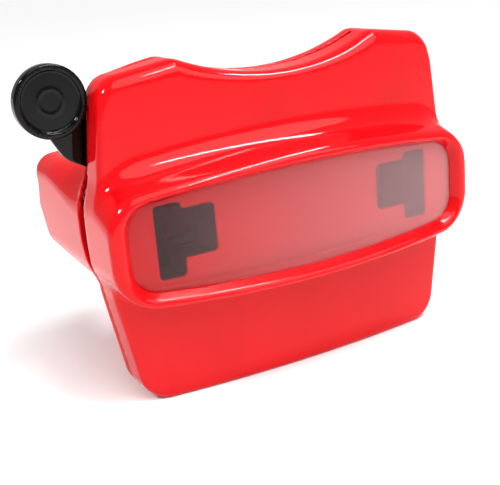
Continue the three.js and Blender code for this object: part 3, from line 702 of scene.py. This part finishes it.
def noise(tree, size, detail=2.0, stretch=(1, 1, 1)):
    """Noise of a given feature size in millimetres, fixed to the piece."""
    point = add_node(tree, "ShaderNodeTexCoord").outputs["Object"]
    point = add_node(tree, "ShaderNodeMapping", Vector=point, Scale=stretch).outputs["Vector"]
    made = add_node(tree, "ShaderNodeTexNoise", Vector=point, Scale=1 / (size * MM), Detail=detail)
    return made.outputs["Fac"]


def spread(tree, value, low, high, start=0.35, end=0.65):
    """A noise value stretched to run from low to high."""
    node = tree.nodes.new("ShaderNodeMapRange")
    tree.links.new(value, node.inputs["Value"])
    for name, number in (("From Min", start), ("From Max", end), ("To Min", low), ("To Max", high)):
        node.inputs[name].default_value = number
    return node.outputs["Result"]


def blend_colours(tree, factor, first, second):
    node = tree.nodes.new("ShaderNodeMix")
    node.data_type = "RGBA"
    tree.links.new(factor, node.inputs["Factor"])
    for socket, colour in ((node.inputs[6], first), (node.inputs[7], second)):
        if isinstance(colour, bpy.types.NodeSocket):
            tree.links.new(colour, socket)
        else:
            socket.default_value = (*colour, 1)
    return node.outputs[2]


def relief(tree, layers):
    """Bumps laid on each other, each as (noise, height in millimetres)."""
    normal = None
    for value, height in layers:
        node = add_node(tree, "ShaderNodeBump", Height=value, Distance=height * MM, Strength=1.0)
        if normal is not None:
            tree.links.new(normal, node.inputs["Normal"])
        normal = node.outputs["Normal"]
    return normal


def multiply(tree, first, second):
    node = tree.nodes.new("ShaderNodeMath")
    node.operation = "MULTIPLY"
    tree.links.new(first, node.inputs[0])
    tree.links.new(second, node.inputs[1])
    return node.outputs[0]


def scratches(tree):
    """Sparse hairline scratches in two directions, 1 on a scratch and 0 elsewhere."""
    fine = spread(tree, noise(tree, 0.9, 1, (1, 0.04, 0.3)), 0, 1, 0.69, 0.74)
    patch = spread(tree, noise(tree, 16, 1), 0, 1, 0.5, 0.62)
    return multiply(tree, fine, patch)


def moulded_plastic(name, colour, deep):
    """Glossy moulded plastic: faint flow marks, orange peel, handling smears and hairlines."""
    material, tree, surface = new_material(name)
    flow = spread(tree, noise(tree, 26, 3, (1, 1, 0.5)), 0, 1)
    tree.links.new(blend_colours(tree, flow, colour, deep), surface.inputs["Base Color"])
    smear = spread(tree, noise(tree, 11, 4, (1, 1, 1.6)), 0.05, 0.09, 0.42, 0.72)
    marks = spread(tree, scratches(tree), 0, 0.06, 0, 1)
    total = tree.nodes.new("ShaderNodeMath")
    tree.links.new(smear, total.inputs[0])
    tree.links.new(marks, total.inputs[1])
    tree.links.new(total.outputs[0], surface.inputs["Roughness"])
    peel = noise(tree, 0.8, 1)
    wave = noise(tree, 9, 1)
    tree.links.new(relief(tree, [(wave, 0.012), (peel, 0.0012)]), surface.inputs["Normal"])
    surface.inputs["IOR"].default_value = 1.5
    surface.inputs["Specular IOR Level"].default_value = 0.2
    return material


def satin_plastic(name, colour, deep):
    """Matt spark-eroded plastic with a fine even grain."""
    material, tree, surface = new_material(name)
    grain = noise(tree, 0.35, 2)
    shade = blend_colours(tree, noise(tree, 8, 2), colour, deep)
    tree.links.new(shade, surface.inputs["Base Color"])
    tree.links.new(spread(tree, grain, 0.42, 0.62), surface.inputs["Roughness"])
    tree.links.new(relief(tree, [(grain, 0.02)]), surface.inputs["Normal"])
    surface.inputs["Specular IOR Level"].default_value = 0.2
    return material


def frosted_plastic(name):
    """Tinted translucent acrylic with a finely etched face, made less clear towards +X as a painted
    sheen.
    """
    material, tree, surface = new_material(name)
    milk = spread(tree, noise(tree, 14, 2), 0, 1, 0, 1)
    tint = blend_colours(tree, milk, (1.0, 0.66, 0.68), (0.98, 0.63, 0.65))
    tree.links.new(tint, surface.inputs["Base Color"])
    tree.links.new(spread(tree, noise(tree, 20, 1), 0.23, 0.25, 0, 1), surface.inputs["Roughness"])
    # painted sheen: transmission falls from 0.99 to 0.86 across X, so the pane shows more of its
    # pale tint towards +X, as reflected light would
    point = add_node(tree, "ShaderNodeTexCoord").outputs["Object"]
    across = add_node(tree, "ShaderNodeSeparateXYZ", Vector=point).outputs["X"]
    clearness_with_painted_sheen = spread(tree, across, 0.99, 0.86, -0.04, 0.06)
    tree.links.new(clearness_with_painted_sheen, surface.inputs["Transmission Weight"])
    surface.inputs["IOR"].default_value = 1.2
    surface.inputs["Specular IOR Level"].default_value = 0.2
    return material


def lens_plastic(name):
    material, tree, surface = new_material(name)
    haze = spread(tree, noise(tree, 4, 3), 0.015, 0.05)
    tree.links.new(haze, surface.inputs["Roughness"])
    tint = blend_colours(tree, noise(tree, 6, 1), (0.98, 0.99, 1.0), (0.95, 0.98, 0.99))
    tree.links.new(tint, surface.inputs["Base Color"])
    surface.inputs["Transmission Weight"].default_value = 1.0
    surface.inputs["IOR"].default_value = 1.49
    return material


def worked_metal(name, colour, tarnish, gloss, rough, stretch=(1, 1, 1)):
    """Metal with fine drawing or turning marks and patchy tarnish."""
    material, tree, surface = new_material(name)
    patches = spread(tree, noise(tree, 2.2, 4), 0, 1, 0.45, 0.7)
    tree.links.new(blend_colours(tree, patches, colour, tarnish), surface.inputs["Base Color"])
    lines = noise(tree, 0.25, 2, stretch)
    tree.links.new(spread(tree, lines, gloss, rough), surface.inputs["Roughness"])
    tree.links.new(relief(tree, [(lines, 0.003)]), surface.inputs["Normal"])
    surface.inputs["Metallic"].default_value = 1.0
    return material


MATERIALS = {
    "red_plastic": moulded_plastic("red plastic", (0.58, 0.002, 0.005), (0.53, 0.002, 0.004)),
    "black_gloss_plastic": moulded_plastic(
        "black gloss plastic", (0.001, 0.001, 0.001), (0.002, 0.002, 0.002)
    ),
    "black_satin_plastic": satin_plastic(
        "black satin plastic", (0.012, 0.01, 0.01), (0.018, 0.016, 0.015)
    ),
    "frosted_plastic": frosted_plastic("frosted plastic"),
    "lens_plastic": lens_plastic("lens plastic"),
    "steel": worked_metal("zinc-plated steel", (0.66, 0.67, 0.68), (0.52, 0.50, 0.44), 0.25, 0.42),
    "spring_steel": worked_metal(
        "spring steel", (0.40, 0.41, 0.44), (0.24, 0.23, 0.25), 0.28, 0.45, (1, 1, 0.1)
    ),
    "brass": worked_metal("brass", (0.78, 0.55, 0.24), (0.50, 0.34, 0.15), 0.24, 0.4),
}

# ---------------------------------------------------------------- pieces


def dress(piece, body, slot, *nodes):
    """Gives a piece its material, its body and the CAD nodes that it stands for."""
    piece.data.materials.clear()
    piece.data.materials.append(MATERIALS[slot])
    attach(piece, body)
    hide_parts(*nodes)


def keep_node(node, slot, edge):
    """A CAD node that is shown as it is, with its edges rounded and a better material."""
    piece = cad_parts[node]
    for i in range(len(piece.material_slots)):
        piece.material_slots[i].material = MATERIALS[slot]
    round_edges(piece, edge)


def screw(name, place, y_under, y_tip, shank, head_radius, head_height):
    """A pan-head screw with a cross recess and a rolled thread."""
    top = y_under + head_height
    thread_pitch = 1.0

    def field(x, y, z):
        u, v = x - place[0], z - place[1]
        radial = np.hypot(u, v)
        head = np.maximum(smooth_max(radial - head_radius, y - top, 0.9), y_under - y)
        phase = (y / thread_pitch - np.arctan2(v, u) / (2 * math.pi)) % 1.0
        thread = (radial - shank + 0.28 * np.abs(2 * phase - 1)) * 0.8
        point = (radial - shank * 0.9) * 0.7 + (y_tip - y) * 0.7 + 0.5
        body = np.maximum(np.maximum(thread, point), between(y, y_tip, y_under + 0.1))
        arm = head_radius * 0.62
        narrow = 0.42 - 0.12 * np.clip(top - y, 0, 1)
        cross = np.minimum(
            np.maximum(np.abs(u) - arm, np.abs(v) - narrow),
            np.maximum(np.abs(v) - arm, np.abs(u) - narrow),
        )
        recess = np.maximum(cross, top - 1.0 + 0.5 * radial - y)
        return smooth_max(np.minimum(head, body), -recess, 0.08)

    reach = head_radius + 0.1
    low = (place[0] - reach, y_tip - 0.1, place[1] - reach)
    high = (place[0] + reach, top + 0.1, place[1] + reach)
    piece = mesh_of_field(f"{name}_threaded", field, low, high, pitch=0.2)
    dress(piece, "housing", "steel", name)


def lens_piece(name, x):
    radius = (LENS_RADIUS**2 + LENS_BULGE**2) / (2 * LENS_BULGE)
    widest = math.asin(LENS_RADIUS / radius)
    steps = 12
    dome = []
    for step in range(steps + 1):
        angle = widest * step / steps
        dome.append((radius * math.sin(angle), LENS_BULGE - radius * (1 - math.cos(angle))))
    front = [(r, LENS_MIDDLE_Y - LENS_EDGE / 2 - rise) for r, rise in dome]
    back = [(r, LENS_MIDDLE_Y + LENS_EDGE / 2 + rise) for r, rise in reversed(dome)]
    piece = turned(f"{name}_polished", [*front, *back], (x, EYE_Z))
    dress(piece, "housing", "lens_plastic", name)


def lens_ring_piece(name, x):
    start = LENS_MIDDLE_Y + LENS_EDGE / 2 + GAP
    inner = LENS_RADIUS - 1.4
    profile = closed_ring([
        (inner, start + 0.7),
        (LENS_RADIUS, start, 0.15),
        (LENS_RADIUS, start + 1.9, 0.3),
        (inner + 0.4, start + 1.9, 0.3),
    ])
    piece = turned(f"{name}_turned", profile, (x, EYE_Z))
    dress(piece, "housing", "black_satin_plastic", name)


def eye_tube_piece(name, x):
    seat = LENS_RADIUS + GAP
    flare_start = LENS_SEAT_Y + 8
    flare_end = flare_start + 4
    profile = closed_ring([
        (BARREL_RADIUS, TUBE_START),
        (TUBE_OUTER, TUBE_START, 0.5),
        (TUBE_OUTER, TUBE_END, 1.4),
        (TUBE_INNER + 0.2, TUBE_END, 0.7),
        (TUBE_INNER, flare_end, 2),
        (seat, flare_start, 1),
        (seat, LENS_SEAT_Y),
        (BARREL_RADIUS, LENS_SEAT_Y, 0.2),
    ])
    piece = turned(f"{name}_moulded", profile, (x, EYE_Z), segments=128)
    dress(piece, "housing", "red_plastic", name)


def reel_spring_piece(name, x):
    """A bowed spring-steel strip that presses the reel forward."""
    half_length, rise, thick = 9.0, 1.3, 0.3
    radius = (half_length**2 + rise**2) / (2 * rise)
    widest = math.asin(half_length / radius)
    steps = 20
    angles = [widest * (2 * step / steps - 1) for step in range(steps + 1)]
    bow_y = TRACK_BACK - GAP - rise + radius
    front = [(radius * math.sin(a), bow_y - radius * math.cos(a)) for a in angles]
    inner = radius - thick
    back = [(inner * math.sin(a), bow_y - inner * math.cos(a)) for a in reversed(angles)]

    def place(along, depth, across):
        return (x + across, depth, REEL_SPRING_Z + along)

    piece = strip(f"{name}_strip", front + back, REEL_SPRING_HALF_WIDTH, place, bevel=0.08)
    dress(piece, "housing", "spring_steel", name)


def claw_field(x, y, z):
    """The claw: a strip on the back of the lever, bent forward to reach the reel's drive slots."""
    back, thick = LEVER_BACK + GAP, 0.6
    along = (x - PIVOT_X) * math.cos(CLAW_REST) + (z - PIVOT_Z) * math.sin(CLAW_REST)
    across = (z - PIVOT_Z) * math.cos(CLAW_REST) - (x - PIVOT_X) * math.sin(CLAW_REST)
    outline = rounded_points([
        (CLAW_ROOT, back),
        (CLAW_REACH - 0.5, back, 0.6),
        (CLAW_REACH - 0.5, TRACK_FRONT + 1.2),
        (CLAW_REACH + 0.1, TRACK_FRONT + 0.8),
        (CLAW_REACH + 0.5, TRACK_FRONT + 1.2),
        (CLAW_REACH + 0.5, back + thick, 1.2),
        (CLAW_ROOT, back + thick),
    ])
    end = smooth_max(np.abs(across) - 1.6, CLAW_ROOT - along, 1.0)
    field = np.maximum(polygon_field(along, y, outline), end)
    return drilled(field, x, y, z, (RIVET_X, RIVET_Z), RIVET_BORE)


def return_spring_piece():
    """Two turns round the pivot. One leg hooks into the lever, the other into the track plate."""
    coil_radius, wire = 6.3, 0.22
    pivot = Vector((PIVOT_X, PIVOT_Z))
    front_y, back_y = LEVER_BACK + 0.62, LEVER_BACK + 1.52

    def tangent_angle(hook, side):
        away = Vector(hook) - pivot
        return math.atan2(away.y, away.x) + side * math.acos(coil_radius / away.length)

    start = tangent_angle(FRAME_HOOK, 1)
    turns = tangent_angle(SPRING_HOOK, -1) - start + 4 * math.pi
    hook_x, hook_z = FRAME_HOOK
    path = [(hook_x, y, hook_z) for y in np.linspace(PLATE_BACK + GAP, back_y - 0.5, 8)]
    path.append((hook_x - 0.5, back_y, hook_z))
    steps = 120
    for step in range(steps + 1):
        angle = start + turns * step / steps
        y = back_y + (front_y - back_y) * step / steps
        x = PIVOT_X + coil_radius * math.cos(angle)
        path.append((x, y, PIVOT_Z + coil_radius * math.sin(angle)))
    coil_end = Vector((path[-1][0], path[-1][2]))
    for share in np.linspace(0.1, 0.95, 12):
        point = coil_end.lerp(Vector(SPRING_HOOK), share)
        path.append((point.x, front_y, point.y))
    hook_x, hook_z = SPRING_HOOK
    path += [(hook_x, y, hook_z) for y in np.linspace(front_y - 0.5, LEVER_FRONT + 0.4, 6)]
    piece = tube_along("return_spring_wire", path, wire)
    piece.data.materials.append(MATERIALS["spring_steel"])
    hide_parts("return_spring")
    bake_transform(piece)


def pin_pieces():
    pin = turned("pivot_pin_turned", [
        (0, TRACK_BACK + 0.2),
        (1.2, TRACK_BACK + 0.2, 0.2),
        (1.2, LEVER_FRONT - 0.1),
        (2.25, LEVER_FRONT - 0.1, 0.2),
        (2.25, 13.4),
        (3.6, 13.4, 0.15),
        (3.6, 14.1, 0.4),
        (2.6, 14.6, 1.2),
        (0, 14.6),
    ], (PIVOT_X, PIVOT_Z), 64)
    dress(pin, "housing", "steel", "pivot_pin")
    ring = turned("pivot_washer_turned", closed_ring([
        (2.6, 12.3),
        (5.2, 12.3, 0.15),
        (5.2, 13.1, 0.15),
        (2.6, 13.1, 0.15),
    ]), (PIVOT_X, PIVOT_Z), 64)
    dress(ring, "housing", "brass", "pivot_washer")
    rivet = turned("claw_rivet_turned", [
        (0, LEVER_FRONT + 0.1),
        (0.9, LEVER_FRONT + 0.1, 0.15),
        (0.9, LEVER_BACK + 1.6),
        (1.8, LEVER_BACK + 1.6, 0.1),
        (1.8, LEVER_BACK + 2.3, 0.5),
        (0, LEVER_BACK + 2.3),
    ], (RIVET_X, RIVET_Z), 48)
    dress(rivet, "lever", "brass", "claw_rivet")


def paint_duct_shade(mesh):
    """Gives the insides of the two light ducts the black material as painted shade, so that they
    read as dark openings.
    """
    centre = np.empty(3 * len(mesh.polygons))
    mesh.polygons.foreach_get("center", centre)
    x, y, z = (centre.reshape(-1, 3) - np.array(ORIGIN)).T / MM
    inside = (light_outline(x, z) < 0.5) & (y > FLOOR_Y + 0.7)
    # painted shade: the duct walls behind the window take the black material in place of the shadow
    # inside them
    mesh.materials.append(MATERIALS["black_satin_plastic"])
    mesh.polygons.foreach_set("material_index", inside.astype(np.int32))


shell_reach = HOOD["half"] + 0.5
shell_top = PEAK_Z + 1

front_box = (-shell_reach, -19, 0), (shell_reach, PART_Y, shell_top)
front = mesh_of_field("front_shell_moulded", front_shell, *front_box, SHELL_PITCH)
dress(front, "housing", "red_plastic", "front_shell")
# painted shade on the inner walls of the light ducts
paint_duct_shade(front.data)
rear_box = (-shell_reach, PART_Y, 0), (shell_reach, EYE_HOOD_BACK + 0.5, shell_top)
rear = mesh_of_field("rear_shell_moulded", rear_shell, *rear_box, SHELL_PITCH)
dress(rear, "housing", "red_plastic", "rear_shell")
pane = mesh_of_field("window_pane", window_pane, (-56, -15, 33), (56, -8, 64), pitch=0.6)
dress(pane, "housing", "frosted_plastic", "diffuser_window")
lever_box = (-74.5, 3.6, 36), (6, 12.2, 98)
lever = mesh_of_field("advance_lever_moulded", advance_lever, *lever_box, pitch=0.5)
dress(lever, "lever", "black_gloss_plastic", "advance_lever")
claw = mesh_of_field("reel_claw_bent", claw_field, (-3, 4.5, 31), (14, 12, 48), pitch=0.25)
dress(claw, "claw", "spring_steel", "reel_claw")
keep_node("reel_guide_plate", "black_satin_plastic", PLATE_EDGE)
keep_node("mechanism_plate", "black_satin_plastic", PLATE_EDGE)
for word, side in (("left", -1), ("right", 1)):
    eye_tube_piece(f"eye_tube_{word}", side * EYE_HALF)
    lens_piece(f"lens_{word}", side * EYE_HALF)
    lens_ring_piece(f"lens_ring_{word}", side * EYE_HALF)
    reel_spring_piece(f"reel_spring_{word}", side * REEL_SPRING_X)
return_spring_piece()
pin_pieces()
for name, place in CASE_SCREWS.items():
    screw(name, place, BACK_Y - 1.7, 1.4, shank=1.2, head_radius=2.8, head_height=1.7)
for name, place in PLATE_SCREWS.items():
    tip = TRACK_BACK - GAP
    screw(name, place, BACK_Y - 1.6, tip, shank=1.0, head_radius=2.2, head_height=0.9)

# ---------------------------------------------------------------- stage, light and camera


def backdrop():
    size = 12.0
    floor_mesh = bpy.data.meshes.new("floor")
    corners = [(-size, -size, 0), (size, -size, 0), (size, size, 0), (-size, size, 0)]
    floor_mesh.from_pydata(corners, [], [(0, 1, 2, 3)])
    floor = bpy.data.objects.new("floor", floor_mesh)
    bpy.context.scene.collection.objects.link(floor)
    material, _, surface = new_material("pale floor")
    surface.inputs["Base Color"].default_value = (0.94, 0.94, 0.94, 1)
    surface.inputs["Roughness"].default_value = 0.7
    surface.inputs["Specular IOR Level"].default_value = 0.1
    floor_mesh.materials.append(material)


def add_light(data, place, target):
    lamp = bpy.data.objects.new(data.name, data)
    lamp.location = place
    lamp.rotation_euler = (Vector(target) - Vector(place)).to_track_quat("-Z", "Y").to_euler()
    bpy.context.scene.collection.objects.link(lamp)


def softbox(name, place, target, width, height, power):
    data = bpy.data.lights.new(name, "AREA")
    data.shape = "RECTANGLE"
    data.size, data.size_y, data.energy = width, height, power
    add_light(data, place, target)


def studio():
    world = bpy.data.worlds.new("studio")
    world.use_nodes = True
    sky = world.node_tree.nodes["Background"]
    sky.inputs["Color"].default_value = (1, 1, 1, 1)
    sky.inputs["Strength"].default_value = 0.42
    bpy.context.scene.world = world
    bpy.context.scene.view_settings.view_transform = "Standard"
    fill = bpy.data.lights.new("broad fill", "SUN")
    fill.energy, fill.angle = 2.4, math.radians(60)
    add_light(fill, (0.25, -0.7, 1.0), (0, 0, 0))
    middle = (0, 0, 0.06)
    softbox("strip softbox", (0.2, -0.16, 0.62), middle, width=0.6, height=0.03, power=4.4)
    softbox("small softbox", (-0.45, -0.1, 0.5), middle, width=0.09, height=0.07, power=1.8)


def camera():
    data = bpy.data.cameras.new("camera")
    data.lens = 69.5
    data.sensor_width = 36
    piece = bpy.data.objects.new("camera", data)
    piece.location = to_metres((-137.1, -238.8, 123.1))
    piece.rotation_euler = Euler([math.radians(angle) for angle in (72.57, 4.94, -29.07)], "XYZ")
    bpy.context.scene.collection.objects.link(piece)
    bpy.context.scene.camera = piece


backdrop()
studio()
camera()
